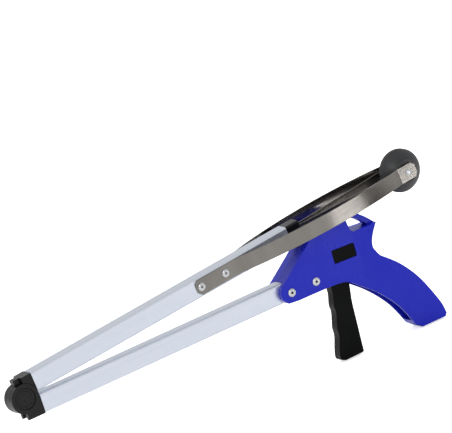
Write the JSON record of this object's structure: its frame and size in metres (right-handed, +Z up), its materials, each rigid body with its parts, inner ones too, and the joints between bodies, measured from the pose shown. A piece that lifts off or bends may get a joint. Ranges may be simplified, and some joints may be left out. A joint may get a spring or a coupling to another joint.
{
  "type": "folding reacher grabber",
  "caption": "Folding reacher grabber: pistol-grip handle with trigger, hinged rectangular tubes, and spring-strip jaws ending in rubber cups, stored folded with the jaws shut.",
  "frame": {"origin": "middle of the folded tool's bounding box at its base, which is the level of the grip's butt and the trigger's tip", "axes": "+X along the rear tube from the hinge towards the handle, +Y across the tool to its far side, +Z up as it is held, away from the trigger's tip"},
  "size_m": [0.4662, 0.0578, 0.1635],
  "materials": {
    "handle_plastic": "semi-gloss moulded blue plastic",
    "badge_plastic": "plain matt black inlay",
    "trigger_plastic": "satin moulded black plastic",
    "hinge_plastic": "satin moulded black plastic",
    "tube_aluminium": "satin clear-anodised",
    "strip_steel": "rolled spring steel, bright, with fine grain along its length",
    "rivet_steel": "bright pressed steel",
    "cable_steel": "stranded steel",
    "cup_rubber": "matt black moulded rubber"
  },
  "bodies": {
    "handle": {"handle_shell_near": "handle_plastic", "handle_shell_far": "handle_plastic", "badge_near": "badge_plastic", "badge_far": "badge_plastic", "handle_rivet_front": "rivet_steel", "handle_rivet_rear": "rivet_steel", "rear_tube": "tube_aluminium", "rear_hinge_block": "hinge_plastic", "hinge_pin": "rivet_steel", "hinge_cap_near": "hinge_plastic", "hinge_cap_far": "hinge_plastic", "cable_rear": "cable_steel"},
    "trigger_pivot": {"trigger_pin": "rivet_steel", "trigger_washer_near": "rivet_steel", "trigger_washer_far": "rivet_steel"},
    "trigger": {"trigger": "trigger_plastic", "cable_nipple": "rivet_steel"},
    "front_arm": {"front_hinge_block": "hinge_plastic", "front_tube": "tube_aluminium", "end_plug": "hinge_plastic", "strip_mount_near": "strip_steel", "strip_mount_far": "strip_steel", "strip_rivet_rear": "rivet_steel", "strip_rivet_front": "rivet_steel"},
    "puller": {"pull_block": "hinge_plastic", "pull_pin": "rivet_steel", "cable_front": "cable_steel"},
    "jaw_near": {"outer_strip_near": "strip_steel", "inner_tab_near": "strip_steel", "cup_near": "cup_rubber", "tip_rivet_near": "rivet_steel"},
    "jaw_far": {"outer_strip_far": "strip_steel", "inner_tab_far": "strip_steel", "cup_far": "cup_rubber", "tip_rivet_far": "rivet_steel"},
    "link_near": {"inner_strip_near": "strip_steel"},
    "link_far": {"inner_strip_far": "strip_steel"}
  },
  "joints": [
    {"name": "fold", "type": "hinge", "parent": "handle", "child": "front_arm", "pos_m": [-0.2188, 0, 0.0946], "axis": [0, -1, 0], "range_deg": [0, 174.95]},
    {"name": "jaw_open", "type": "hinge", "parent": "front_arm", "child": "jaw_near", "pos_m": [0.02524, -0.0089, 0.12651], "axis": [0.088, 0, -0.9961], "range_deg": [0, 9]},
    {"name": "jaw_open_far", "type": "hinge", "parent": "front_arm", "child": "jaw_far", "pos_m": [0.02524, 0.0089, 0.12651], "axis": [-0.088, 0, 0.9961], "range_deg": [0, 9]},
    {"name": "link_swing_near", "type": "hinge", "parent": "jaw_near", "child": "link_near", "pos_m": [0.20225, -0.01615, 0.14215], "axis": [0.088, 0, -0.9961], "range_deg": [0, 5.28]},
    {"name": "link_swing_far", "type": "hinge", "parent": "jaw_far", "child": "link_far", "pos_m": [0.20225, 0.01615, 0.14215], "axis": [-0.088, 0, 0.9961], "range_deg": [0, 5.28]},
    {"name": "cable_pull", "type": "slide", "parent": "front_arm", "child": "puller", "axis": [0.9961, 0, 0.088], "range_m": [0, 0.00372]},
    {"name": "trigger_lead", "type": "hinge", "parent": "handle", "child": "trigger_pivot", "pos_m": [0.1152, 0, 0.101], "axis": [0, -1, 0], "range_deg": [0, 20]},
    {"name": "trigger_swing", "type": "hinge", "parent": "trigger_pivot", "child": "trigger", "pos_m": [0.1152, 0, 0.101], "axis": [0, -1, 0], "range_deg": [-20, 0]}
  ],
  "couplings": [
    {"joint": "jaw_open_far", "follows": "jaw_open", "ratio": 1},
    {"joint": "link_swing_near", "follows": "jaw_open", "ratio": 0.58694},
    {"joint": "link_swing_far", "follows": "jaw_open", "ratio": 0.58694},
    {"joint": "cable_pull", "follows": "jaw_open", "m_per_rad": 0.02368},
    {"joint": "trigger_lead", "follows": "fold", "ratio": 0.11431},
    {"joint": "trigger_swing", "follows": "jaw_open", "ratio": -2.222}
  ]
}
